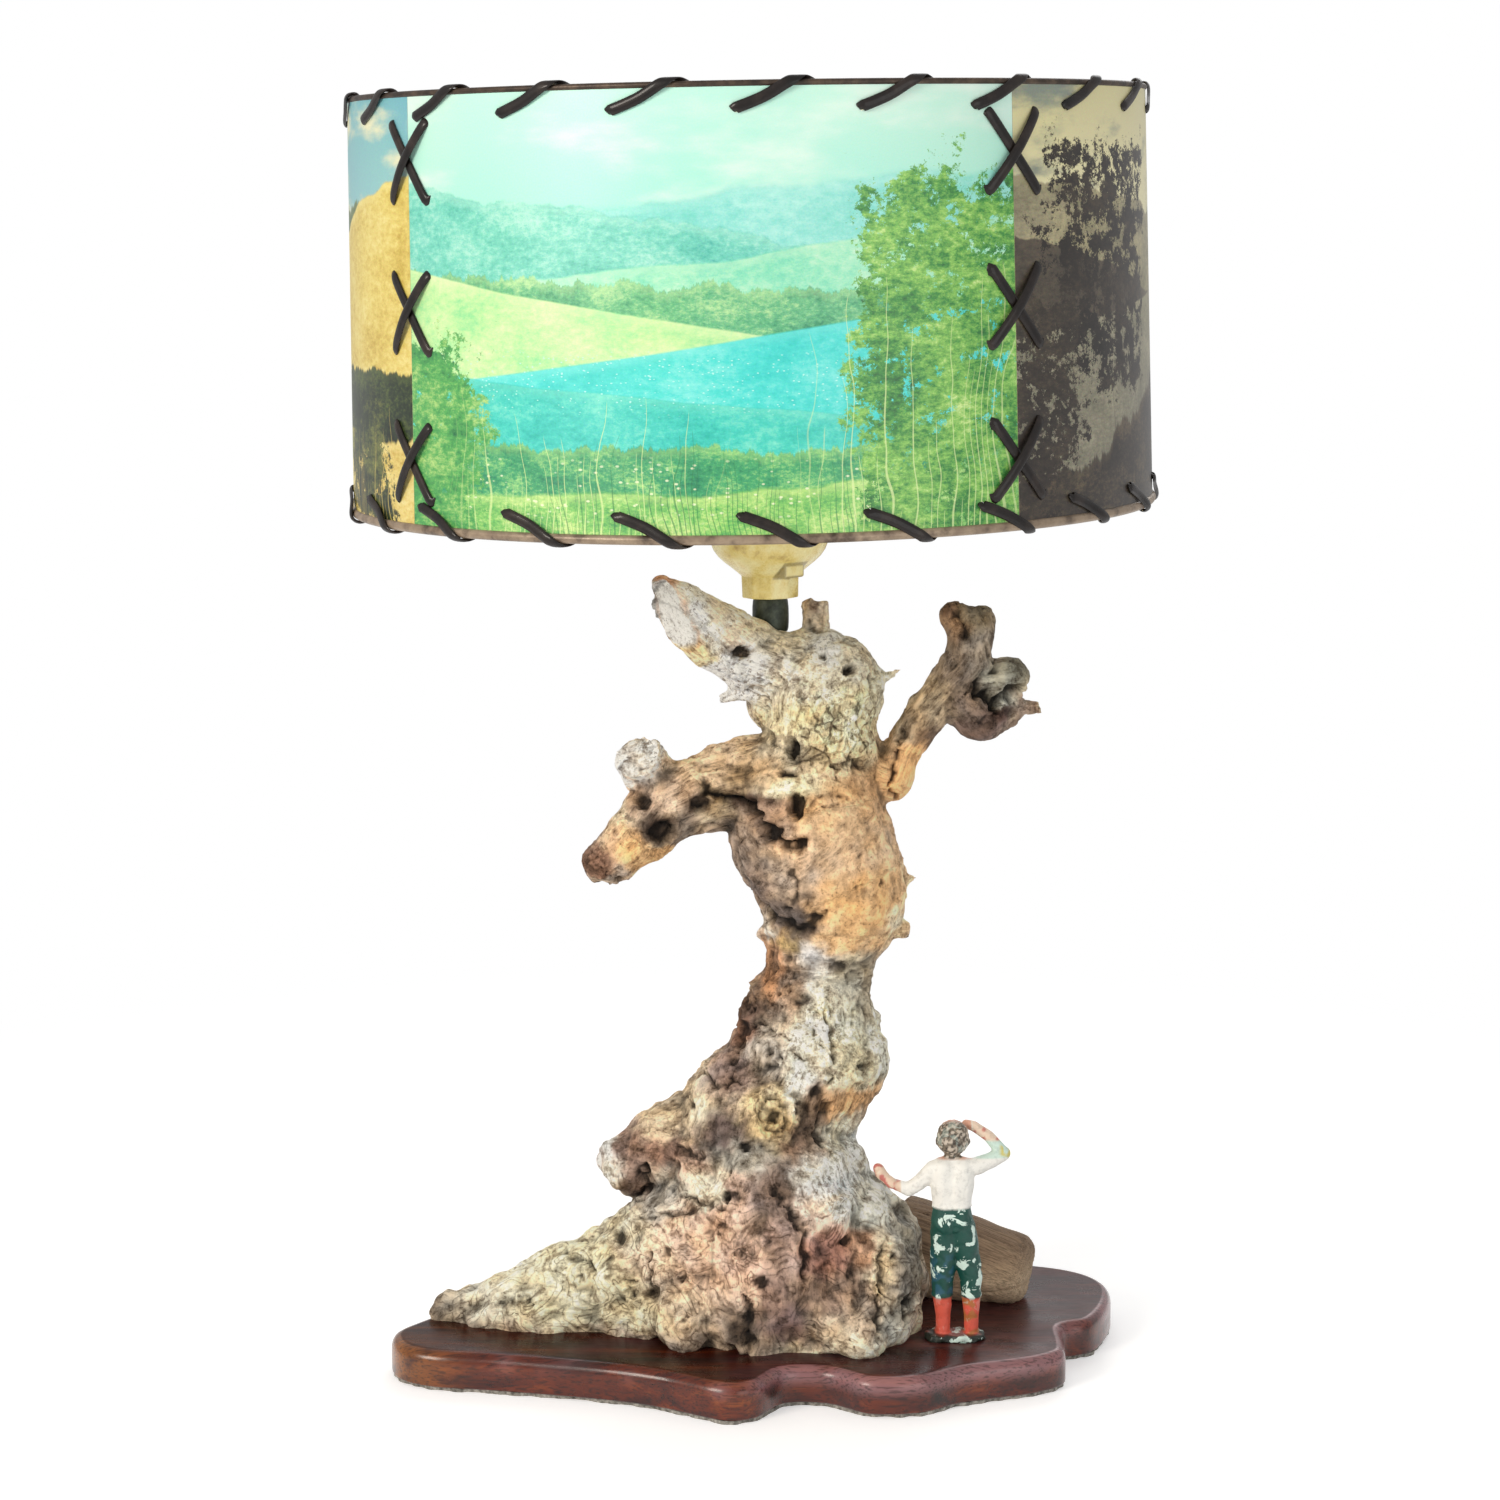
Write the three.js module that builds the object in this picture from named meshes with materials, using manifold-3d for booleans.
// Driftwood table lamp: a burl of driftwood on a lobed board, a lampholder, and a laced drum shade.
// Millimetres, +Z up, the front faces -Y, and the shade's lower rim is centred over the origin.
import * as THREE from 'three';
import { mergeVertices } from 'three/addons/utils/BufferGeometryUtils.js';
import Module from 'manifold-3d';

const wasm = await Module();
wasm.setup();

// Clearances shared by pieces that fit each other
const restGap = 0.3; // between pieces that touch inside the leaning head
const runGap = 0.6; // around pieces that turn or slide in a bore
const cutOverrun = 5; // how far every cutter runs past the face it cuts

// Board and felt
const boardWidth = 250;
const boardDepth = 125;
const boardThickness = 12;
const boardEdge = 2.6;
const boardRise = 0.8; // depth of the flat bevel that starts the rounded edge
const feltThickness = 1.2;
const feltInset = 0.6;
const boardTop = feltThickness + boardThickness;

// Driftwood
const woodHeight = 240;
const woodCellCount = 29; // surface cells along the wood's height
const woodBlend = 7; // width of the blend between two limbs
const bumpHeight = 1.7;
const bumpLength = 21;
const seatShare = 0.953; // height of the flat seat under the lampholder, as a share of the wood

// Wood screws from beneath
const screwRadius = 2;
const screwHeadRadius = 4.2;
const screwHeadDepth = 2.6;
const screwBite = 12; // length held by the wood

// Threaded pipe and the dark sleeve round it
const pipeRadius = 5;
const pipeBore = 3.6;
const pipeInWood = 22;
const sleeveHeight = 11.2;
const sleeveRadius = 6;
const sleeveSwell = 0.5;
const cordHoleRadius = 3.5;
const cordHoleFall = 14; // how far the slanting cord hole drops on its way to the back

// Ivory cap of the lampholder
const neckRadius = 10;
const neckHeight = 7;
const neckSides = 10;
const bowlHeight = 10.5;
const capRadius = 20;
const capHeight = 31; // neck, bowl and rim together
const capWall = 2.4;
const capFloor = 13; // solid height above the foot of the neck
const bossRadius = 4;
const bossReach = 2.2;
const bossTurn = -60; // degrees from +X to the boss
const grubRadius = 1.5;
const nutHeight = 4;
const nutRadius = 8;

// Lampholder body
const headLean = 1; // degrees, towards -X
const bodyRadius = 19.5;
const bodyHeight = 17;
const threadRadius = 17;
const threadHeight = 27;
const spigotHeight = 6;
const cavityRadius = 13.6;
const bodyFloor = 3;
const lampBore = 14.6;
const shellWall = 0.6;
const contactRadius = 4;
const contactHeight = 1;
const rivetRadius = 1.6;
const terminalRadius = 1.7;
const terminalHead = 3;
const terminalSpread = 8.6;

// Turn switch, at the back of the body
const knobRadius = 5;
const knobLength = 13;
const knobLobes = 8;
const knobGroove = 0.5;
const spindleRadius = 2;
const switchBlockSize = 9;
const switchRise = 7.2; // above the cap's rim

// Shade
const shadeHeight = 131.5; // between the centres of the two rings
const lowerRadius = 131.2;
const upperRadius = 128.6;
const ringRadius = 1.5;
const panelWall = 0.8;
const panelCount = 4;
const panelSteps = 10;
const seamTurn = -52.5; // degrees from +X to the seam at the right of the front
const seamGap = 0.6;
const shadeRimRise = 1.7; // height of the lower ring above the cap's rim
const fitterOffset = 5.2; // the frame is bent, so the fitter is off its centre
const fitterWidth = 4;
const fitterThickness = 2;
const armCount = 3;
const armRadius = 1.75;
const armTurn = -90;
const nutRingHeight = 6.4;
const nutRingWidth = 4.6;

// Lacing
const laceRadius = 1.25;
const laceGap = 0.5;
const laceSides = 4;
const laceHoleRadius = 2.1;
const laceHoleSides = 5;
const stitchCount = 22;
const stitchTurn = 268.7 - 360; // degrees from +X to the hole in the middle of the front
const stitchDrop = 7; // from the ring's centre to the row of holes
const crossShares = [0.154, 0.5, 0.846];
const crossHalfWidth = 9;
const crossHalfHeight = 11;
const crossLift = 3.4; // extra height of the strand that crosses on top

// Light bulb
const bulbRadius = 30;
const bulbCapRadius = 13.1;
const bulbCapHeight = 22;
const bulbGlassHeight = 81;
const bulbNeckRadius = 13.1;
const bulbContactRadius = 4.6;
const bulbContactHeight = 1.7;
const bulbWall = 0.8;
const bulbNeckTurnShare = -0.16; // where the ball starts, in shares of half a turn
const bulbArcSteps = 7;
const bulbSides = 16;

// Log
const logLength = 47;
const logThickRadius = 17;
const logThinRadius = 11.5;
const logSink = 1.5; // depth of the flat on which it lies
const logTurn = -20;

// Figurine
const figureHeight = 74;
const figureCellCount = 25;
const figureBlend = 1.6;
const figurePlateHeight = 2.2;

// Places that follow the wood, in shares of its height: from the pipe's axis, and from the board's top
const logPlaceShares = [0.184, 0.014];
const figurePlaceShares = [0.258, -0.21];
const trunkScrewShares = [[-0.17, -0.11], [0.05, -0.13]];

// Colours
const colours = {
  wood: 0xa58e72, board: 0x4a1710, felt: 0x6f6a62, steel: 0x8f9090, brass: 0xb08d45, ivory: 0xd9cc8a,
  sleeve: 0x3b4038, phenolic: 0x2a2420, paint: 0x9a8672, lace: 0x3a2f2a, glass: 0xf4f1e8, figure: 0xd8cbb8,
  print: 0x6fcdbb,
};

// Counts of sides on round pieces
const roundSides = 24;
const smallSides = 12;

// Solids and meshes
const lamp = new THREE.Group();

function closedCopy(geometry) {
  const bare = geometry.index ? geometry.clone() : geometry;
  for (const name of Object.keys(bare.attributes)) {
    if (name !== 'position') bare.deleteAttribute(name);
  }
  return mergeVertices(bare, restGap / 1000);
}

function solid(geometry) {
  const merged = closedCopy(geometry);
  return new wasm.Manifold(new wasm.Mesh({
    numProp: 3,
    vertProperties: new Float32Array(merged.attributes.position.array),
    triVerts: new Uint32Array(merged.index.array),
  }));
}

function geometryOf(body) {
  const { vertProperties, triVerts, numProp } = body.getMesh();
  const geometry = new THREE.BufferGeometry();
  const places = new Float32Array((vertProperties.length / numProp) * 3);
  for (let i = 0; i * numProp < vertProperties.length; i += 1) {
    places.set(vertProperties.subarray(i * numProp, i * numProp + 3), i * 3);
  }
  geometry.setAttribute('position', new THREE.BufferAttribute(places, 3));
  geometry.setIndex(Array.from(triVerts));
  geometry.computeVertexNormals();
  return geometry;
}

function cutFrom(geometry, cutters) {
  return geometryOf(cutters.reduce((body, cutter) => body.subtract(solid(cutter)), solid(geometry)));
}

function joined(geometries) {
  return geometryOf(geometries.map(solid).reduce((body, other) => body.add(other)));
}

function piece(parent, name, geometry, color, roughness, metalness = 0) {
  const mesh = new THREE.Mesh(geometry, new THREE.MeshStandardMaterial({ color, roughness, metalness }));
  mesh.name = name;
  parent.add(mesh);
  return mesh;
}

// A profile of [radius, height] pairs turned about Z
function turned(profile, segments = roundSides) {
  const points = profile.map(([radius, height]) => new THREE.Vector2(radius, height));
  return new THREE.LatheGeometry(points, segments).rotateX(Math.PI / 2);
}

function ringProfile(inner, outer, low, high) {
  return [[inner, low], [outer, low], [outer, high], [inner, high], [inner, low]];
}

// A rod with flat ends between two points
function rodBetween(from, to, radius, sides = 8, endRadius = radius) {
  const way = new THREE.Vector3().subVectors(to, from);
  const rod = new THREE.CylinderGeometry(endRadius, radius, way.length(), sides);
  const turn = new THREE.Quaternion().setFromUnitVectors(new THREE.Vector3(0, 1, 0), way.clone().normalize());
  const middle = new THREE.Vector3().addVectors(from, to).multiplyScalar(0.5);
  return rod.applyQuaternion(turn).translate(middle.x, middle.y, middle.z);
}

function onCircle(radius, degrees, height) {
  const angle = THREE.MathUtils.degToRad(degrees);
  return new THREE.Vector3(radius * Math.cos(angle), radius * Math.sin(angle), height);
}

// One unbroken tube through the points, with flat ends
function tubeThrough(points, radius, sides) {
  const places = [];
  const faces = [];
  const count = points.length;
  let across = null;
  points.forEach((point, i) => {
    const before = points[Math.max(i - 1, 0)];
    const after = points[Math.min(i + 1, count - 1)];
    const into = new THREE.Vector3().subVectors(point, before).normalize();
    const out = new THREE.Vector3().subVectors(after, point).normalize();
    const along = new THREE.Vector3().addVectors(into, out).normalize();
    if (!across) across = new THREE.Vector3(along.y, -along.x, 0).normalize();
    across.addScaledVector(along, -across.dot(along)).normalize();
    const up = new THREE.Vector3().crossVectors(along, across);
    for (let k = 0; k < sides; k += 1) {
      const angle = (k / sides) * 2 * Math.PI;
      const rim = point.clone().addScaledVector(across, radius * Math.cos(angle));
      places.push(...rim.addScaledVector(up, radius * Math.sin(angle)).toArray());
    }
  });
  for (let i = 0; i < count - 1; i += 1) {
    for (let k = 0; k < sides; k += 1) {
      const a = i * sides + k;
      const b = i * sides + ((k + 1) % sides);
      faces.push(a, b, b + sides, a, b + sides, a + sides);
    }
  }
  for (let k = 1; k < sides - 1; k += 1) {
    const last = (count - 1) * sides;
    faces.push(0, k + 1, k, last, last + k, last + k + 1);
  }
  const geometry = new THREE.BufferGeometry();
  geometry.setAttribute('position', new THREE.Float32BufferAttribute(places, 3));
  geometry.setIndex(faces);
  geometry.computeVertexNormals();
  return geometry;
}

// The least gap between stretches of one tube that are not next to each other, measured on its points
function printSelfGap(name, points, radius, reach) {
  const fine = [];
  for (let i = 0; i < points.length - 1; i += 1) {
    for (let k = 0; k < 4; k += 1) fine.push(points[i].clone().lerp(points[i + 1], k / 4));
  }
  const travelled = [0];
  for (let i = 1; i < fine.length; i += 1) travelled.push(travelled[i - 1] + fine[i].distanceTo(fine[i - 1]));
  let least = Infinity;
  for (let i = 0; i < fine.length; i += 1) {
    for (let k = i + 1; k < fine.length; k += 1) {
      if (travelled[k] - travelled[i] > reach) least = Math.min(least, fine[i].distanceTo(fine[k]));
    }
  }
  console.log(`${name}: least gap to itself ${(least - 2 * radius).toFixed(2)} mm`);
}

// Limbs that melt into each other

// Distance to a tapered limb, given as two rows of [x, y, z, radius]
function limbDistance(point, from, to) {
  const start = new THREE.Vector3(...from);
  const way = new THREE.Vector3(...to).sub(start);
  const along = point.clone().sub(start).dot(way) / Math.max(way.lengthSq(), Number.EPSILON);
  const share = THREE.MathUtils.clamp(along, 0, 1);
  const radius = THREE.MathUtils.lerp(from[3], to[3], share);
  return point.distanceTo(start.addScaledVector(way, share)) - radius;
}

function blendedField(limbs, blend) {
  const segments = limbs.flatMap((limb) => limb.slice(0, -1).map((row, i) => [row, limb[i + 1]]));
  return (point) => segments.reduce((distance, [from, to]) => {
    const next = limbDistance(point, from, to);
    const mix = Math.max(blend - Math.abs(distance - next), 0) / blend;
    return Math.min(distance, next) - (mix * mix * blend) / 4;
  }, Infinity);
}

function scaledLimbs(shareLimbs, size) {
  return shareLimbs.map((limb) => limb.map((row) => row.map((share) => share * size)));
}

// Fills in one corner of each grid square whose insides touch only across a diagonal
function joinDiagonals(values, counts) {
  const steps = [1, counts[0], counts[0] * counts[1]];
  const pairs = [[0, 1], [1, 2], [2, 0]].map(([u, v]) => [steps[u], steps[v]]);
  const last = values.length - steps[0] - steps[1] - steps[2];
  let changed = true;
  while (changed) {
    changed = false;
    for (let i = 0; i < last; i += 1) {
      for (const [u, v] of pairs) {
        const square = [i, i + u, i + u + v, i + v];
        const [a, b, c, d] = square.map((corner) => values[corner] < 0);
        if (a !== c || b !== d || a === b) continue;
        const outer = a ? [square[1], square[3]] : [square[0], square[2]];
        const nearest = values[outer[0]] < values[outer[1]] ? outer[0] : outer[1];
        values[nearest] = -values[nearest] / 2;
        changed = true;
      }
    }
  }
}

// The closed skin where the field is zero: a point in each cell that it crosses, a face on each edge
function skinOf(field, limbs, cell, floor) {
  const rows = limbs.flat();
  const axes = [0, 1, 2];
  const low = axes.map((axis) => Math.min(...rows.map((row) => row[axis] - row[3])) - 2 * cell);
  const high = axes.map((axis) => Math.max(...rows.map((row) => row[axis] + row[3])) + 2 * cell);
  low[2] = Math.max(low[2], floor - 2 * cell);
  const counts = axes.map((axis) => Math.ceil((high[axis] - low[axis]) / cell) + 1);
  const at = (i, j, k) => (k * counts[1] + j) * counts[0] + i;
  const corner = (i, j, k) => new THREE.Vector3(low[0] + i * cell, low[1] + j * cell, low[2] + k * cell);
  const values = new Float32Array(counts[0] * counts[1] * counts[2]);
  for (let k = 0; k < counts[2]; k += 1) {
    for (let j = 0; j < counts[1]; j += 1) {
      for (let i = 0; i < counts[0]; i += 1) {
        const place = corner(i, j, k);
        values[at(i, j, k)] = Math.max(field(place), floor - place.z) || Number.EPSILON;
      }
    }
  }
  joinDiagonals(values, counts);
  const places = [];
  const numbers = new Map();
  const pointOf = (i, j, k) => {
    const key = at(i, j, k);
    if (numbers.has(key)) return numbers.get(key);
    const sum = new THREE.Vector3();
    let crossings = 0;
    for (let edge = 0; edge < 12; edge += 1) {
      const axis = Math.floor(edge / 4);
      const start = [0, 0, 0];
      start[(axis + 1) % 3] = edge % 2;
      start[(axis + 2) % 3] = Math.floor(edge / 2) % 2;
      const end = [...start];
      end[axis] = 1;
      const a = values[at(i + start[0], j + start[1], k + start[2])];
      const b = values[at(i + end[0], j + end[1], k + end[2])];
      if (a < 0 === b < 0) continue;
      const from = corner(i + start[0], j + start[1], k + start[2]);
      sum.add(from.lerp(corner(i + end[0], j + end[1], k + end[2]), a / (a - b)));
      crossings += 1;
    }
    places.push(...sum.divideScalar(crossings).toArray());
    numbers.set(key, places.length / 3 - 1);
    return places.length / 3 - 1;
  };
  const faces = [];
  for (let k = 1; k < counts[2] - 1; k += 1) {
    for (let j = 1; j < counts[1] - 1; j += 1) {
      for (let i = 1; i < counts[0] - 1; i += 1) {
        for (const axis of axes) {
          const step = axes.map((other) => (other === axis ? 1 : 0));
          const inside = values[at(i, j, k)] < 0;
          if (inside === values[at(i + step[0], j + step[1], k + step[2])] < 0) continue;
          const u = (axis + 1) % 3;
          const v = (axis + 2) % 3;
          const ring = [[0, 0], [-1, 0], [-1, -1], [0, -1]].map(([du, dv]) => {
            const cellPlace = [i, j, k];
            cellPlace[u] += du;
            cellPlace[v] += dv;
            return pointOf(...cellPlace);
          });
          const [a, b, c, d] = inside ? ring : ring.reverse();
          faces.push(a, b, c, a, c, d);
        }
      }
    }
  }
  const geometry = new THREE.BufferGeometry();
  geometry.setAttribute('position', new THREE.Float32BufferAttribute(places, 3));
  geometry.setIndex(faces);
  return geometry;
}

// Board and felt

// Shares of the board's width and depth, from the origin, round the lobed plank from the left
const boardOutlineShares = [
  [-0.484, -0.3], [-0.468, -0.44], [-0.42, -0.5], [-0.33, -0.53], [-0.19, -0.6], [-0.115, -0.66],
  [-0.04, -0.755], [0.005, -0.735], [0.04, -0.635], [0.095, -0.635], [0.15, -0.71], [0.215, -0.7],
  [0.265, -0.635], [0.31, -0.6], [0.365, -0.56], [0.405, -0.5], [0.412, -0.42], [0.415, -0.3],
  [0.455, -0.25], [0.49, -0.12], [0.504, 0.02], [0.49, 0.13], [0.45, 0.2], [0.38, 0.235],
  [0.3, 0.27], [0.2, 0.3], [0.1, 0.26], [0, 0.22], [-0.12, 0.25], [-0.22, 0.22],
  [-0.29, 0.1], [-0.36, -0.04], [-0.43, -0.12], [-0.473, -0.2],
];

function boardOutline(inset) {
  const knots = boardOutlineShares.map(([x, y]) => new THREE.Vector3(x * boardWidth, y * boardDepth, 0));
  const curve = new THREE.CatmullRomCurve3(knots, true, 'centripetal');
  const steps = boardOutlineShares.length * 2;
  const outline = [];
  for (let i = 0; i < steps; i += 1) {
    const point = curve.getPoint(i / steps);
    const way = curve.getTangent(i / steps);
    outline.push(new THREE.Vector2(point.x - way.y * inset, point.y + way.x * inset));
  }
  return outline;
}

function boardSolid() {
  const bevel = { bevelThickness: boardEdge, bevelSize: boardEdge - boardRise, bevelSegments: 2 };
  const shape = new THREE.Shape(boardOutline(bevel.bevelSize));
  const plank = new THREE.ExtrudeGeometry(shape, { depth: boardThickness - 2 * boardEdge, ...bevel });
  return plank.translate(0, 0, feltThickness + boardEdge);
}

function feltSolid() {
  const shape = new THREE.Shape(boardOutline(boardEdge + feltInset));
  return new THREE.ExtrudeGeometry(shape, { depth: feltThickness, bevelEnabled: false });
}

function woodPoint(xShare, yShare, zShare) {
  return new THREE.Vector3(xShare, yShare, zShare).multiplyScalar(woodHeight);
}

// Driftwood, each limb as rows of [x, y, z, radius] in shares of the wood's height
const woodLimbShares = [
  [[-0.046, -0.033, 0.923, 0.043], [0.006, -0.025, 0.916, 0.047], [0.057, -0.021, 0.899, 0.057],
    [0.099, -0.021, 0.891, 0.053]],
  [[0.041, -0.017, 0.915, 0.047], [0.093, -0.017, 0.898, 0.046]],
  [[-0.151, -0.067, 1.023, 0.018], [-0.112, -0.054, 0.997, 0.026], [-0.064, -0.042, 0.96, 0.036],
    [-0.026, -0.029, 0.934, 0.042]],
  [[-0.156, -0.079, 0.998, 0.014], [-0.125, -0.067, 0.967, 0.023], [-0.084, -0.05, 0.938, 0.03],
    [-0.043, -0.033, 0.915, 0.039]],
  [[-0.036, -0.033, 0.884, 0.02], [0.006, -0.029, 0.875, 0.028], [0.061, -0.021, 0.86, 0.05]],
  [[0.071, -0.021, 0.874, 0.079], [0.073, -0.025, 0.83, 0.079], [0.07, -0.025, 0.793, 0.083],
    [0.057, -0.025, 0.759, 0.092]],
  [[0.057, -0.025, 0.759, 0.092], [0.045, -0.033, 0.721, 0.107], [0.052, -0.037, 0.676, 0.114],
    [0.073, -0.037, 0.633, 0.113], [0.087, -0.037, 0.598, 0.107], [0.086, -0.037, 0.562, 0.1],
    [0.075, -0.037, 0.528, 0.085], [0.068, -0.042, 0.498, 0.078], [0.066, -0.046, 0.459, 0.076]],
  [[0.066, -0.046, 0.459, 0.076], [0.053, -0.054, 0.422, 0.094], [0.055, -0.062, 0.387, 0.098],
    [0.046, -0.071, 0.351, 0.11], [0.015, -0.079, 0.31, 0.121], [-0.012, -0.087, 0.27, 0.124],
    [-0.023, -0.1, 0.228, 0.127], [-0.006, -0.113, 0.174, 0.15], [0.006, -0.129, 0.114, 0.156],
    [0.006, -0.138, 0.047, 0.156]],
  [[0.121, -0.083, 0.368, 0.048], [0.115, -0.075, 0.337, 0.048]],
  [[-0.014, -0.083, 0.428, 0.033], [-0.012, -0.079, 0.399, 0.035]],
  [[-0.208, -0.108, 0.224, 0.039], [-0.152, -0.104, 0.237, 0.06], [-0.088, -0.092, 0.256, 0.084]],
  [[-0.194, -0.1, 0.192, 0.023], [-0.144, -0.096, 0.202, 0.042]],
  [[-0.114, -0.092, 0.102, 0.098], [0.033, -0.058, 0.045, 0.11], [0.117, -0.096, 0.058, 0.065]],
  [[-0.45, -0.117, 0.007, 0.028], [-0.379, -0.125, 0.021, 0.039], [-0.316, -0.125, 0.04, 0.053],
    [-0.239, -0.129, 0.056, 0.068], [-0.162, -0.133, 0.084, 0.091], [-0.071, -0.142, 0.118, 0.118]],
  [[-0.405, -0.15, 0.008, 0.023], [-0.314, -0.158, 0.014, 0.033], [-0.231, -0.158, 0.02, 0.039],
    [-0.167, -0.175, 0.035, 0.055]],
  [[-0.098, -0.188, 0.047, 0.076], [-0.111, -0.225, 0.024, 0.047]],
  [[-0.015, -0.2, 0.065, 0.083], [0.006, -0.192, 0.017, 0.041]],
  [[0.109, -0.158, 0.16, 0.058], [0.13, -0.175, 0.1, 0.076], [0.133, -0.2, 0.037, 0.072]],
  [[0.081, -0.233, 0.048, 0.058], [0.123, -0.267, 0.017, 0.033]],
  [[0.153, -0.125, 0.113, 0.063], [0.153, -0.117, 0.037, 0.063], [0.166, -0.167, 0.011, 0.047]],
  [[0.069, -0.108, 0.205, 0.05], [0.127, -0.125, 0.171, 0.042], [0.154, -0.129, 0.12, 0.053]],
  [[0.027, -0.029, 0.741, 0.061], [-0.04, -0.042, 0.736, 0.055], [-0.098, -0.054, 0.733, 0.051],
    [-0.143, -0.062, 0.718, 0.05], [-0.174, -0.075, 0.683, 0.047], [-0.212, -0.083, 0.654, 0.037],
    [-0.236, -0.092, 0.645, 0.028]],
  [[-0.001, -0.033, 0.77, 0.047], [-0.05, -0.042, 0.762, 0.045], [-0.098, -0.05, 0.755, 0.035]],
  [[0.122, -0.021, 0.758, 0.042], [0.171, -0.021, 0.753, 0.032], [0.184, -0.017, 0.791, 0.028],
    [0.213, -0.013, 0.836, 0.029], [0.246, -0.008, 0.878, 0.031], [0.273, -0.004, 0.916, 0.035],
    [0.276, -0.004, 0.953, 0.035]],
  [[0.27, -0.004, 0.942, 0.028], [0.257, -0.008, 0.974, 0.021]],
  [[0.284, -0.004, 0.942, 0.028], [0.293, 0, 0.97, 0.02]],
  [[0.285, 0.004, 0.87, 0.033], [0.332, 0.017, 0.884, 0.03]],
  [[0.267, -0.004, 0.86, 0.039], [0.298, 0.008, 0.835, 0.039], [0.327, 0.017, 0.834, 0.024]],
  [[-0.154, -0.033, 0.755, 0.033], [-0.178, -0.067, 0.778, 0.032]],
  [[0.062, 0.008, 0.928, 0.022], [0.059, 0.008, 0.968, 0.02]],
];

// Broken twigs, each as a root, a tip and the radius at each, in shares of the wood's height
const twigShares = [
  { root: [0.141, -0.021, 0.885], tip: [0.183, -0.025, 0.904], thick: 0.014, thin: 0.002 },
  { root: [-0.026, -0.033, 0.87], tip: [-0.075, -0.037, 0.864], thick: 0.014, thin: 0.009 },
  { root: [-0.057, -0.037, 0.789], tip: [-0.093, -0.042, 0.801], thick: 0.009, thin: 0.002 },
  { root: [0.178, -0.037, 0.608], tip: [0.207, -0.037, 0.612], thick: 0.014, thin: 0.003 },
  { root: [0.159, -0.037, 0.536], tip: [0.192, -0.037, 0.539], thick: 0.016, thin: 0.009 },
  { root: [0.142, -0.05, 0.415], tip: [0.155, -0.05, 0.415], thick: 0.012, thin: 0.008 },
  { root: [-0.004, -0.042, 0.526], tip: [-0.019, -0.046, 0.532], thick: 0.014, thin: 0.009 },
  { root: [0.111, -0.108, 0.224], tip: [0.133, -0.108, 0.221], thick: 0.019, thin: 0.011 },
  { root: [0.127, -0.117, 0.209], tip: [0.152, -0.117, 0.206], thick: 0.021, thin: 0.012 },
  { root: [0.321, 0.017, 0.848], tip: [0.384, 0.017, 0.844], thick: 0.012, thin: 0.009 },
  { root: [-0.236, -0.092, 0.645], tip: [-0.248, -0.096, 0.658], thick: 0.015, thin: 0.009 },
  { root: [-0.233, -0.092, 0.637], tip: [-0.244, -0.096, 0.622], thick: 0.014, thin: 0.008 },
  { root: [-0.217, -0.087, 0.637], tip: [-0.219, -0.096, 0.615], thick: 0.015, thin: 0.008 },
];

// Knot holes, each as a mouth, a bottom and the mouth's radius, in shares of the wood's height
const knotHoleShares = [
  { mouth: [-0.039, -0.096, 0.93], bottom: [-0.031, -0.029, 0.922], wide: 0.013 },
  { mouth: [0.106, -0.117, 0.905], bottom: [0.102, -0.05, 0.897], wide: 0.011 },
  { mouth: [0.027, -0.142, 0.805], bottom: [0.033, -0.067, 0.795], wide: 0.013 },
  { mouth: [0.035, -0.175, 0.728], bottom: [0.044, -0.092, 0.72], wide: 0.016 },
  { mouth: [-0.148, -0.15, 0.689], bottom: [-0.148, -0.083, 0.682], wide: 0.015 },
  { mouth: [0, -0.25, 0.274], bottom: [-0.004, -0.158, 0.262], wide: 0.018 },
];

const seat = new THREE.Vector3(0, 0, boardTop + seatShare * woodHeight);

function bumps(place) {
  const [a, b, c] = place.clone().divideScalar(bumpLength).toArray();
  const coarse = Math.sin(2.1 * a + c) * Math.sin(1.7 * b - 0.6 * c) * Math.cos(1.9 * c + a);
  const fine = Math.sin(4.3 * a - 2 * b) * Math.sin(3.9 * c + 1.1 * b);
  return bumpHeight * (coarse + fine / 2);
}

function screwProfile(gap) {
  const head = feltThickness + restGap;
  const neck = head + screwHeadDepth;
  const tip = boardTop + screwBite;
  const bore = screwRadius + gap;
  const low = gap ? head - cutOverrun : head;
  return [[0, low], [screwHeadRadius + gap, low], [screwHeadRadius + gap, head], [bore, neck],
    [bore, tip - bore], [0, tip + gap]];
}

function screwAt(place, gap) {
  return turned(screwProfile(gap), smallSides).translate(place.x, place.y, 0);
}

function driftwoodSolid(axis, trunkScrews, headPlace) {
  const limbs = scaledLimbs(woodLimbShares, woodHeight);
  const blended = blendedField(limbs, woodBlend);
  const cell = woodHeight / woodCellCount;
  const grown = skinOf((place) => blended(place) - bumps(place), limbs, cell, -cell);
  let body = solid(grown);
  for (const { root, tip, thick, thin } of twigShares) {
    const twig = rodBetween(woodPoint(...root), woodPoint(...tip), thick * woodHeight, 6, thin * woodHeight);
    body = body.add(solid(twig));
  }
  for (const { mouth, bottom, wide } of knotHoleShares) {
    const radius = wide * woodHeight;
    body = body.subtract(solid(rodBetween(woodPoint(...mouth), woodPoint(...bottom), radius, 8, radius / 3)));
  }
  let wood = solid(geometryOf(body).translate(axis.x, axis.y, boardTop));
  const floor = new THREE.BoxGeometry(3 * boardWidth, 3 * boardDepth, woodHeight);
  wood = wood.subtract(solid(floor.translate(0, 0, boardTop - woodHeight / 2)));
  for (const cutter of headCutters()) wood = wood.subtract(solid(cutter.applyMatrix4(headPlace)));
  for (const place of trunkScrews) wood = wood.subtract(solid(screwAt(place, restGap)));
  return geometryOf(wood);
}

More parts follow.
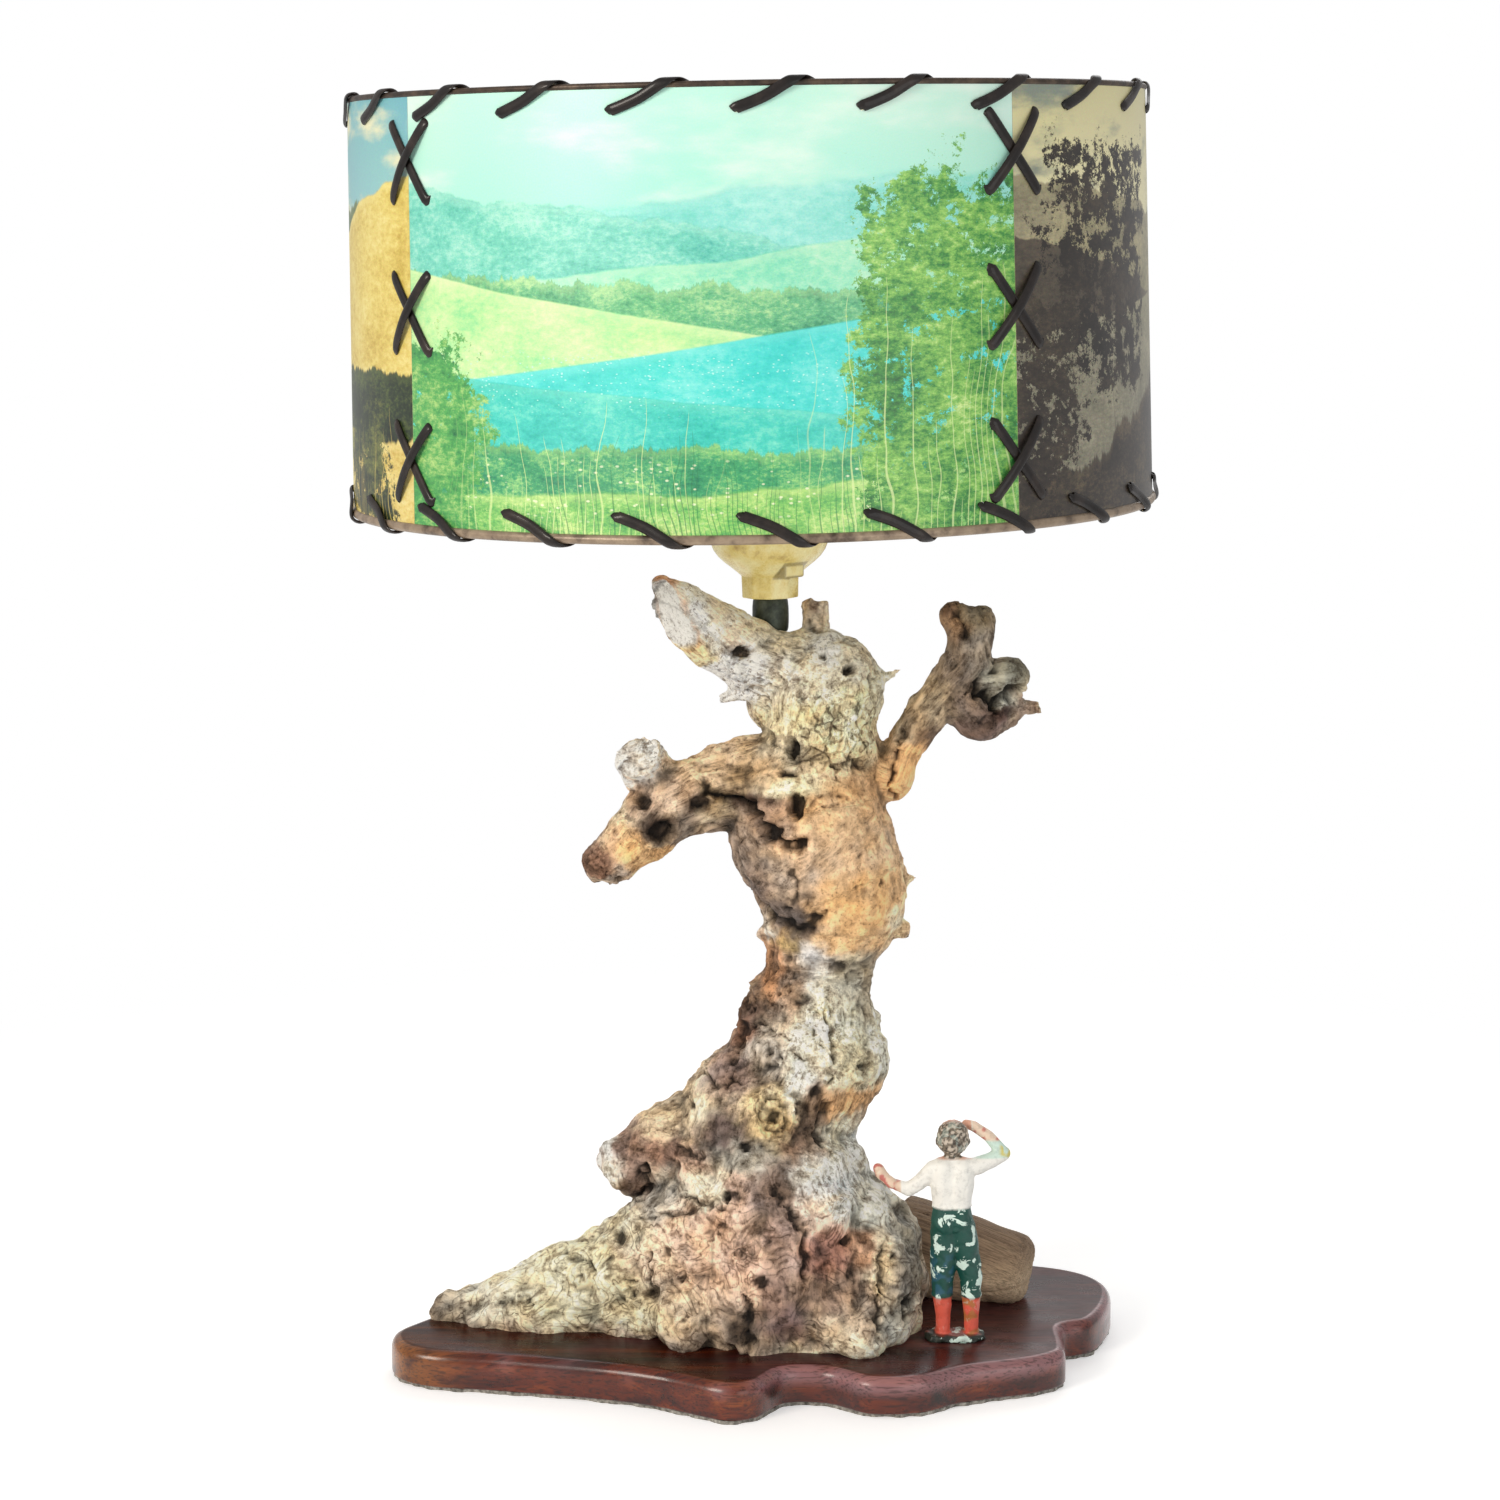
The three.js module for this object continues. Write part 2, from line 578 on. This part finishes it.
// The seat, the pipe's hole and the slanting cord hole, in the lampholder's own frame
function headCutters() {
  const hole = pipeRadius + restGap;
  const spot = turned([[0, 0], [sleeveRadius + 2 * runGap, 0], [sleeveRadius + 2 * runGap, 3 * cutOverrun],
    [0, 3 * cutOverrun]]);
  const bore = turned([[0, -pipeInWood - restGap], [hole, -pipeInWood - restGap], [hole, cutOverrun],
    [0, cutOverrun]]);
  const start = new THREE.Vector3(0, 0, -pipeInWood - cordHoleRadius / 2);
  const way = new THREE.Vector3(0, neckRadius * 4, -pipeInWood - cordHoleFall);
  return [spot, bore, rodBetween(start, way, cordHoleRadius, smallSides)];
}

// Log

function logPlace(along) {
  const [x, y] = logPlaceShares.map((share) => share * woodHeight);
  const way = onCircle(along, logTurn, 0);
  return new THREE.Vector3(seat.x + x + way.x, y + way.y, 0);
}

function logSolid(screwPlace) {
  const chamfer = logThinRadius / 4;
  const profile = [[0, 0], [logThickRadius * 0.8, 0], [logThickRadius, logThickRadius * 0.3],
    [logThickRadius * 0.97, logLength * 0.35], [logThickRadius * 0.88, logLength * 0.7],
    [logThinRadius + chamfer / 2, logLength - 2 * chamfer], [logThinRadius - chamfer, logLength], [0, logLength]];
  const dip = Math.asin((logThickRadius - logThinRadius) / logLength);
  const lying = turned(profile, 14).rotateY(Math.PI / 2 + dip);
  lying.rotateZ(THREE.MathUtils.degToRad(logTurn));
  const start = logPlace(0);
  lying.translate(start.x, start.y, boardTop + logThickRadius - logSink);
  const floor = new THREE.BoxGeometry(3 * boardWidth, 3 * boardDepth, woodHeight);
  return cutFrom(lying, [floor.translate(0, 0, boardTop - woodHeight / 2), screwAt(screwPlace, restGap)]);
}

// Figurine seen from behind, in shares of its height: rows of [x, y, z, radius], facing +Y
const figureLimbShares = [
  [[-0.07, -0.004, 0.122, 0.035], [-0.076, 0, 0.203, 0.043], [-0.074, 0.003, 0.297, 0.054],
    [-0.07, 0, 0.405, 0.058], [-0.066, 0, 0.514, 0.068]],
  [[0.055, -0.008, 0.122, 0.035], [0.054, -0.003, 0.203, 0.043], [0.05, 0, 0.297, 0.053],
    [0.032, 0, 0.405, 0.058], [0.005, 0, 0.514, 0.068]],
  [[-0.062, -0.011, 0.541, 0.069], [-0.058, -0.005, 0.608, 0.062]],
  [[-0.008, -0.011, 0.541, 0.069], [-0.016, -0.005, 0.608, 0.062]],
  [[-0.07, -0.005, 0.051, 0.032], [-0.07, -0.003, 0.122, 0.034], [-0.07, -0.003, 0.162, 0.039]],
  [[0.055, -0.008, 0.051, 0.032], [0.055, -0.005, 0.122, 0.034], [0.055, -0.005, 0.162, 0.039]],
  [[-0.07, -0.011, 0.049, 0.031], [-0.076, 0.046, 0.041, 0.026]],
  [[0.055, -0.011, 0.049, 0.031], [0.064, 0.043, 0.041, 0.026]],
  [[-0.062, 0, 0.622, 0.062], [-0.068, 0, 0.716, 0.068], [-0.076, 0, 0.784, 0.057]],
  [[-0.014, 0, 0.622, 0.062], [-0.005, 0, 0.716, 0.068], [0.008, 0, 0.784, 0.057]],
  [[-0.111, 0, 0.784, 0.042], [0.049, 0, 0.792, 0.042]],
  [[-0.038, 0.005, 0.784, 0.035], [-0.035, 0.011, 0.851, 0.034]],
  [[-0.034, 0.005, 0.914, 0.072], [-0.034, 0.014, 0.932, 0.072]],
  [[-0.034, 0.032, 0.873, 0.045], [-0.034, 0.014, 0.899, 0.058]],
  [[-0.116, 0, 0.784, 0.041], [-0.181, 0.005, 0.719, 0.036], [-0.227, 0.011, 0.686, 0.032]],
  [[-0.227, 0.011, 0.686, 0.03], [-0.304, 0.022, 0.711, 0.026], [-0.346, 0.027, 0.749, 0.023]],
  [[-0.346, 0.027, 0.749, 0.026], [-0.365, 0.032, 0.776, 0.024]],
  [[0.059, 0, 0.792, 0.041], [0.135, 0.016, 0.816, 0.036], [0.192, 0.027, 0.846, 0.034]],
  [[0.192, 0.027, 0.846, 0.03], [0.127, 0.049, 0.919, 0.026], [0.062, 0.065, 0.959, 0.023]],
  [[0.062, 0.065, 0.959, 0.024], [0.027, 0.076, 0.968, 0.02]],
];

function figureSolid() {
  const limbs = scaledLimbs(figureLimbShares, figureHeight);
  const skin = skinOf(blendedField(limbs, figureBlend), limbs, figureHeight / figureCellCount, 0);
  const plateShape = new THREE.Shape();
  plateShape.absellipse(0, 0, figureHeight * 0.14, figureHeight * 0.085, 0, 2 * Math.PI);
  const options = { depth: figurePlateHeight, bevelEnabled: false, curveSegments: 14 };
  const body = solid(skin).add(solid(new THREE.ExtrudeGeometry(plateShape, options)));
  const under = new THREE.BoxGeometry(figureHeight, figureHeight, figureHeight);
  return geometryOf(body.subtract(solid(under.translate(0, 0, -figureHeight / 2))));
}

// Pipe, sleeve and cap, in the lampholder's own frame: its axis is Z, its foot is the seat

const capFoot = restGap + sleeveHeight + restGap;
const bowlFoot = capFoot + neckHeight;
const capRim = capFoot + capHeight;
const nutFoot = capFoot + capFloor + restGap;
const pipeTop = nutFoot + nutHeight + restGap * 4;

function buildPipe(head) {
  piece(head, 'threaded_pipe', turned(ringProfile(pipeBore, pipeRadius, -pipeInWood, pipeTop), smallSides),
    colours.brass, 0.4, 1);
  const bore = pipeRadius + restGap;
  const sleeve = [[bore, restGap], [sleeveRadius - sleeveSwell, restGap], [sleeveRadius, sleeveHeight * 0.25],
    [sleeveRadius, sleeveHeight * 0.75], [sleeveRadius - sleeveSwell, restGap + sleeveHeight],
    [bore, restGap + sleeveHeight], [bore, restGap]];
  piece(head, 'pipe_sleeve', turned(sleeve), colours.sleeve, 0.5);
}

function bossAxis(from, to) {
  const height = bowlFoot + bossRadius / 4;
  return [onCircle(from, bossTurn, height), onCircle(to, bossTurn, height)];
}

// Faceted neck, bowl and rim, hollow above the floor, with the boss of the set screw
function buildCap(head) {
  const inner = capRadius - capWall;
  const bowlTop = bowlFoot + bowlHeight;
  const outside = turned([[0, bowlFoot], [neckRadius * 0.94, bowlFoot], [neckRadius + bowlHeight * 0.3,
    bowlFoot + bowlHeight * 0.32], [capRadius * 0.86, bowlFoot + bowlHeight * 0.62], [capRadius * 0.97, bowlTop],
  [capRadius, bowlTop + capWall], [capRadius, capRim], [0, capRim]]);
  const neck = new THREE.CylinderGeometry(neckRadius, neckRadius * 0.97, neckHeight + capWall, neckSides);
  neck.rotateX(Math.PI / 2).translate(0, 0, capFoot + (neckHeight + capWall) / 2);
  const boss = rodBetween(...bossAxis(neckRadius / 2, neckRadius + bossReach), bossRadius, smallSides);
  const hollow = turned([[0, capFoot + capFloor], [neckRadius, capFoot + capFloor], [inner, bowlTop + capWall],
    [inner, capRim + cutOverrun], [0, capRim + cutOverrun]]);
  const bore = turned([[0, capFoot - cutOverrun], [pipeRadius + restGap, capFoot - cutOverrun],
    [pipeRadius + restGap, capRim], [0, capRim]], smallSides);
  const screwHole = rodBetween(...bossAxis(0, neckRadius + bossReach + cutOverrun), grubRadius + restGap, smallSides);
  const shell = cutFrom(joined([outside, neck, boss]), [hollow, bore, screwHole]);
  piece(head, 'socket_cap', shell, colours.ivory, 0.45);
  const grub = rodBetween(...bossAxis(pipeRadius + restGap, neckRadius + bossReach - grubRadius / 2),
    grubRadius, smallSides);
  piece(head, 'cap_set_screw', grub, colours.brass, 0.4, 1);
  const nutBody = new THREE.CylinderGeometry(nutRadius, nutRadius, nutHeight, 6).rotateX(Math.PI / 2);
  const nutBore = new THREE.CylinderGeometry(1, 1, 1, smallSides).rotateX(Math.PI / 2);
  nutBore.scale(pipeRadius + restGap, pipeRadius + restGap, nutHeight + 2 * cutOverrun);
  piece(head, 'pipe_locknut', cutFrom(nutBody, [nutBore]).translate(0, 0, nutFoot + nutHeight / 2),
    colours.steel, 0.4, 1);
}

const bodyFoot = capRim + restGap;
const shoulder = bodyFoot + bodyHeight;
const bodyTop = shoulder + threadHeight;
const floorTop = shoulder + bodyFloor / 2;
const floorFoot = floorTop - bodyFloor;
const switchHeight = capRim + switchRise;

// Insulating body, its brass shell and contacts, and the screws of its terminals
function buildHolder(head) {
  const spigot = capRadius - capWall - runGap;
  const outside = turned([[0, bodyFoot - spigotHeight], [spigot, bodyFoot - spigotHeight], [spigot, bodyFoot],
    [bodyRadius, bodyFoot], [bodyRadius, shoulder], [threadRadius, shoulder], [threadRadius, bodyTop],
    [0, bodyTop]]);
  const cavity = turned([[0, bodyFoot - spigotHeight - cutOverrun],
    [cavityRadius, bodyFoot - spigotHeight - cutOverrun], [cavityRadius, floorFoot], [0, floorFoot]]);
  const well = turned([[0, floorTop], [lampBore, floorTop], [lampBore, bodyTop + cutOverrun],
    [0, bodyTop + cutOverrun]]);
  const holeUp = (x, radius) => new THREE.CylinderGeometry(radius, radius, 4 * bodyFloor, smallSides)
    .rotateX(Math.PI / 2).translate(x, 0, floorTop - bodyFloor / 2);
  const spindleHole = rodBetween(new THREE.Vector3(0, 0, switchHeight),
    new THREE.Vector3(0, bodyRadius + cutOverrun, switchHeight), spindleRadius + restGap, smallSides);
  const holes = [holeUp(0, rivetRadius + restGap), holeUp(terminalSpread, terminalRadius + restGap),
    holeUp(-terminalSpread, terminalRadius + restGap)];
  piece(head, 'lampholder_body', cutFrom(outside, [cavity, well, spindleHole, ...holes]), colours.phenolic, 0.4);

  const shellOuter = lampBore - restGap;
  const shellFoot = floorTop + restGap;
  const lip = shellOuter - terminalRadius * 3;
  piece(head, 'screw_shell', turned([[lip, shellFoot], [shellOuter, shellFoot], [shellOuter, bodyTop - restGap],
    [shellOuter - shellWall, bodyTop - restGap], [shellOuter - shellWall, shellFoot + shellWall],
    [lip, shellFoot + shellWall], [lip, shellFoot]]), colours.brass, 0.35, 1);
  const contactTop = floorTop + restGap + contactHeight;
  piece(head, 'centre_contact', turned([[0, floorFoot - restGap - contactHeight],
    [contactRadius * 0.7, floorFoot - restGap - contactHeight], [contactRadius * 0.7, floorFoot - restGap],
    [rivetRadius, floorFoot - restGap], [rivetRadius, floorTop + restGap], [contactRadius, floorTop + restGap],
    [contactRadius, contactTop], [0, contactTop]], smallSides), colours.brass, 0.35, 1);
  for (const [name, side] of [['terminal_screw_left', -1], ['terminal_screw_right', 1]]) {
    const headFoot = floorFoot - restGap - terminalRadius;
    const screw = turned([[0, headFoot], [terminalHead, headFoot], [terminalHead, floorFoot - restGap],
      [terminalRadius, floorFoot - restGap], [terminalRadius, floorTop - restGap], [0, floorTop - restGap]], smallSides);
    piece(head, name, screw.translate(side * terminalSpread, 0, 0), colours.brass, 0.4, 1);
  }
}

// Turn switch: a block inside the body, the spindle through its wall and the fluted knob
function buildSwitch(head) {
  const blockBack = switchBlockSize / 2;
  const room = spindleRadius + restGap;
  const block = new THREE.BoxGeometry(switchBlockSize, switchBlockSize, switchBlockSize)
    .translate(0, 0, switchHeight);
  const inBlock = rodBetween(new THREE.Vector3(0, 0, switchHeight),
    new THREE.Vector3(0, blockBack + cutOverrun, switchHeight), room, smallSides);
  piece(head, 'switch_block', cutFrom(block, [inBlock]), colours.phenolic, 0.6);
  const knobFoot = bodyRadius + runGap;
  const holeEnd = knobFoot + knobLength * 0.7;
  const spindle = rodBetween(new THREE.Vector3(0, restGap, switchHeight),
    new THREE.Vector3(0, holeEnd, switchHeight), spindleRadius, smallSides);
  piece(head, 'switch_spindle', spindle, colours.brass, 0.4, 1);
  const outline = [];
  const steps = knobLobes * 4;
  for (let i = 0; i < steps; i += 1) {
    const angle = (i / steps) * 2 * Math.PI;
    const radius = knobRadius - (i % 4 === 0 ? knobGroove : 0);
    outline.push(new THREE.Vector2(radius * Math.cos(angle), radius * Math.sin(angle)));
  }
  const grip = new THREE.ExtrudeGeometry(new THREE.Shape(outline), { depth: knobLength, bevelEnabled: false });
  grip.rotateX(-Math.PI / 2).translate(0, knobFoot, switchHeight);
  const socket = rodBetween(new THREE.Vector3(0, knobFoot - cutOverrun, switchHeight),
    new THREE.Vector3(0, holeEnd + restGap, switchHeight), room, smallSides);
  piece(head, 'switch_knob', cutFrom(grip, [socket]), colours.phenolic, 0.35);
}

// Bulb

function buildBulb(head) {
  const contactFoot = floorTop + 2 * restGap + contactHeight;
  const contactTop = contactFoot + bulbContactHeight;
  piece(head, 'bulb_contact', turned([[0, contactFoot], [bulbContactRadius * 0.7, contactFoot],
    [bulbContactRadius, contactTop], [0, contactTop]], smallSides), colours.brass, 0.4, 1);
  const capFootHeight = contactTop + restGap;
  const capTop = capFootHeight + bulbCapHeight;
  piece(head, 'bulb_cap', turned([[0, capFootHeight], [bulbContactRadius, capFootHeight],
    [bulbCapRadius - shellWall, capFootHeight + bulbContactRadius], [bulbCapRadius, capFootHeight
      + bulbContactRadius + shellWall], [bulbCapRadius, capTop], [0, capTop]]), colours.steel, 0.3, 1);
  const foot = capTop + restGap;
  const ball = foot + bulbGlassHeight - bulbRadius;
  const envelope = (wall) => {
    const half = [[bulbNeckRadius - wall, foot], [bulbNeckRadius * 1.1 - wall, foot + bulbRadius * 0.3]];
    for (let i = 0; i <= bulbArcSteps; i += 1) {
      const angle = THREE.MathUtils.lerp(bulbNeckTurnShare, 0.5, i / bulbArcSteps) * Math.PI;
      const radius = bulbRadius - wall;
      half.push([i === bulbArcSteps ? 0 : radius * Math.cos(angle), ball + radius * Math.sin(angle)]);
    }
    return half;
  };
  const glass = [...envelope(0), ...envelope(bulbWall).reverse()];
  glass.push(glass[0]);
  piece(head, 'bulb_glass', turned(glass, bulbSides), colours.glass, 0.2);
}

// Shade, in its own frame: the origin is the centre of the lower ring

const panelFoot = ringRadius + restGap;
const panelTop = shadeHeight - ringRadius - restGap;

function shadeRadius(height) {
  return THREE.MathUtils.lerp(lowerRadius, upperRadius, height / shadeHeight);
}

// A point on the shade's wall: along the wall from an angle, out from its middle, and up
function wallPoint(degrees, along, out, height) {
  const radius = shadeRadius(height);
  return onCircle(radius + out, degrees + THREE.MathUtils.radToDeg(along / radius), height);
}

const stitchPitch = 360 / stitchCount;
const holeRows = [stitchDrop, shadeHeight - stitchDrop];
const crossHeights = crossShares.map((share) => shadeHeight * (1 - share));

// The holes of one panel, as [degrees, along, height]
function panelHoles(seamStart, seamEnd) {
  const holes = [];
  const margin = THREE.MathUtils.radToDeg(laceHoleRadius / lowerRadius);
  for (let i = 0; i < stitchCount; i += 1) {
    const turn = THREE.MathUtils.euclideanModulo(stitchTurn + i * stitchPitch - seamStart, 360);
    if (turn < margin || turn > seamEnd - seamStart - margin) continue;
    for (const height of holeRows) holes.push([seamStart + turn, 0, height]);
  }
  for (const centre of crossHeights) {
    for (const height of [centre - crossHalfHeight, centre + crossHalfHeight]) {
      holes.push([seamStart, crossHalfWidth, height], [seamEnd, -crossHalfWidth, height]);
    }
  }
  return holes;
}

function panelSolid(seamStart, seamEnd) {
  const places = [];
  const halfGap = THREE.MathUtils.radToDeg(seamGap / 2 / upperRadius);
  for (const [side, out] of [[1, panelWall / 2], [-1, -panelWall / 2]]) {
    for (let i = 0; i <= panelSteps; i += 1) {
      const share = side > 0 ? i / panelSteps : 1 - i / panelSteps;
      const turn = THREE.MathUtils.lerp(seamStart + halfGap, seamEnd - halfGap, share);
      places.push(onCircle(1 + out / lowerRadius, turn, 0));
    }
  }
  const shape = new THREE.Shape(places.map((place) => new THREE.Vector2(place.x, place.y)));
  const wall = new THREE.ExtrudeGeometry(shape, { depth: panelTop - panelFoot, bevelEnabled: false });
  wall.translate(0, 0, panelFoot);
  const spots = wall.attributes.position;
  for (let i = 0; i < spots.count; i += 1) {
    const radius = shadeRadius(spots.getZ(i));
    spots.setXY(i, spots.getX(i) * radius, spots.getY(i) * radius);
  }
  const cutters = panelHoles(seamStart, seamEnd).map(([degrees, along, height]) => rodBetween(
    wallPoint(degrees, along, -cutOverrun, height), wallPoint(degrees, along, cutOverrun, height),
    laceHoleRadius, laceHoleSides));
  return cutFrom(wall, cutters);
}

const wallReach = panelWall / 2 + laceRadius + laceGap; // lace centre beside a panel
const ringReach = ringRadius + laceRadius + laceGap; // lace centre round a ring

// Each pass of a whip stitch over its ring, in shares of the pitch along it and of the drop below it
const rimPassShares = [[0.24, 0.52], [0.39, 0.02], [0.455, -0.34], [0.495, -0.47], [0.535, -0.34], [0.6, 0.02],
  [0.76, 0.52]];

// Whip stitches round one ring: out of a hole, over the ring on a slant, and back down inside
function rimLacePoints(ringHeight, inward) {
  const pitch = THREE.MathUtils.degToRad(stitchPitch) * shadeRadius(ringHeight);
  const row = ringHeight + inward * stitchDrop;
  const reaches = [wallReach, ringReach, ringReach * 0.72, 0, -ringReach * 0.72, -ringReach, -wallReach];
  const points = [];
  for (let i = 0; i < stitchCount; i += 1) {
    const turn = stitchTurn + 180 + i * stitchPitch;
    points.push(wallPoint(turn, 0, -wallReach, row), wallPoint(turn, 0, wallReach, row));
    rimPassShares.forEach(([alongShare, dropShare], k) => {
      points.push(wallPoint(turn, alongShare * pitch, reaches[k], ringHeight + inward * dropShare * stitchDrop));
    });
  }
  return points;
}

// Three crosses down one seam, laced with one strand
function seamLacePoints(seam) {
  const w = crossHalfWidth;
  const h = crossHalfHeight;
  const at = (along, out, height) => wallPoint(seam, along, out, height);
  const points = [];
  crossHeights.forEach((centre, i) => {
    points.push(at(-w, -wallReach, centre + h), at(-w, wallReach, centre + h));
    points.push(at(0, wallReach, centre));
    points.push(at(w, wallReach, centre - h), at(w, -wallReach, centre - h));
    points.push(at(-w, -wallReach, centre - h), at(-w, wallReach, centre - h));
    points.push(at(-w / 3, wallReach + crossLift, centre - h / 3), at(w / 3, wallReach + crossLift, centre + h / 3));
    points.push(at(w, wallReach, centre + h), at(w, -wallReach, centre + h));
    if (i < crossHeights.length - 1) {
      points.push(at(w / 3, -wallReach - crossLift, centre), at(0, -wallReach - crossLift, centre - h));
    }
  });
  return points;
}

function buildShade(shade, seams) {
  const ring = (radius, height) => new THREE.TorusGeometry(radius, ringRadius, 6, 40).translate(0, 0, height);
  piece(shade, 'bottom_ring', ring(lowerRadius, 0), colours.paint, 0.5, 0.4);
  piece(shade, 'top_ring', ring(upperRadius, shadeHeight), colours.paint, 0.5, 0.4);
  const sides = ['front', 'right', 'back', 'left'];
  seams.forEach((seam, i) => {
    const name = sides[i];
    piece(shade, `shade_panel_${name}`, panelSolid(seam - 360 / panelCount, seam), colours.print, 0.5);
  });
  const rims = [['bottom_lacing', 0, 1], ['top_lacing', shadeHeight, -1]];
  for (const [name, height, inward] of rims) {
    const points = rimLacePoints(height, inward);
    printSelfGap(name, points, laceRadius, 4 * stitchDrop);
    piece(shade, name, tubeThrough(points, laceRadius, laceSides), colours.lace, 0.4);
  }
  seams.forEach((seam, i) => {
    const points = seamLacePoints(seam);
    const name = `seam_lacing_${sides[i]}`;
    printSelfGap(name, points, laceRadius, 2 * crossHalfHeight);
    piece(shade, name, tubeThrough(points, laceRadius, laceSides), colours.lace, 0.4);
  });
}

// Fitter ring on the lampholder's shoulder, its arms to the lower ring, and the nut that clamps it
function buildFitter(head, shadeCentre) {
  const fitterFoot = shoulder + restGap;
  const inner = threadRadius + runGap;
  const outer = inner + fitterWidth;
  piece(head, 'fitter_ring', turned(ringProfile(inner, outer, fitterFoot, fitterFoot + fitterThickness)),
    colours.paint, 0.5, 0.4);
  const reach = lowerRadius - ringRadius - restGap - armRadius / 2;
  for (let i = 0; i < armCount; i += 1) {
    const turn = armTurn + (i * 360) / armCount;
    const start = onCircle(outer + restGap, turn, fitterFoot + fitterThickness / 2);
    const end = onCircle(reach, turn, 0).add(shadeCentre);
    piece(head, `fitter_arm_${i + 1}`, rodBetween(start, end, armRadius, 8), colours.paint, 0.5, 0.4);
  }
  const nutLow = fitterFoot + fitterThickness + restGap;
  piece(head, 'shade_ring_nut', turned(ringProfile(inner - restGap, inner - restGap + nutRingWidth, nutLow,
    nutLow + nutRingHeight)), colours.phenolic, 0.45);
}

// The whole lamp

const shadeCentre = new THREE.Vector3(-fitterOffset, 0, capRim + shadeRimRise);
const lean = THREE.MathUtils.degToRad(headLean);
seat.x = fitterOffset * Math.cos(lean) + shadeCentre.z * Math.sin(lean);

const head = new THREE.Group();
head.position.copy(seat);
head.rotation.y = -lean;
lamp.add(head);
lamp.updateMatrixWorld(true);

const shade = new THREE.Group();
shade.position.copy(shadeCentre);
head.add(shade);

const axis = new THREE.Vector3(seat.x, 0, 0);
const trunkScrews = trunkScrewShares.map(([x, y]) => new THREE.Vector3(x, y, 0).multiplyScalar(woodHeight).add(axis));
const logScrew = logPlace(logLength / 2);

piece(lamp, 'felt_base', feltSolid(), colours.felt, 0.95);
piece(lamp, 'base_board', cutFrom(boardSolid(), [...trunkScrews, logScrew].map((place) => screwAt(place, restGap))),
  colours.board, 0.35);
piece(lamp, 'driftwood_trunk', driftwoodSolid(axis, trunkScrews, head.matrixWorld), colours.wood, 0.85);
piece(lamp, 'driftwood_log', logSolid(logScrew), colours.wood, 0.85);
trunkScrews.forEach((place, i) => {
  piece(lamp, `trunk_screw_${i + 1}`, screwAt(place, 0), colours.steel, 0.4, 1);
});
piece(lamp, 'log_screw', screwAt(logScrew, 0), colours.steel, 0.4, 1);

const [figureX, figureY] = figurePlaceShares.map((share) => share * woodHeight);
piece(lamp, 'figurine', figureSolid(), colours.figure, 0.6)
  .position.set(seat.x + figureX, figureY, boardTop);

buildPipe(head);
buildCap(head);
buildHolder(head);
buildSwitch(head);
buildBulb(head);
buildFitter(head, shadeCentre);
const seams = Array.from({ length: panelCount }, (_, i) => seamTurn + (i * 360) / panelCount);
buildShade(shade, seams);

export default lamp;
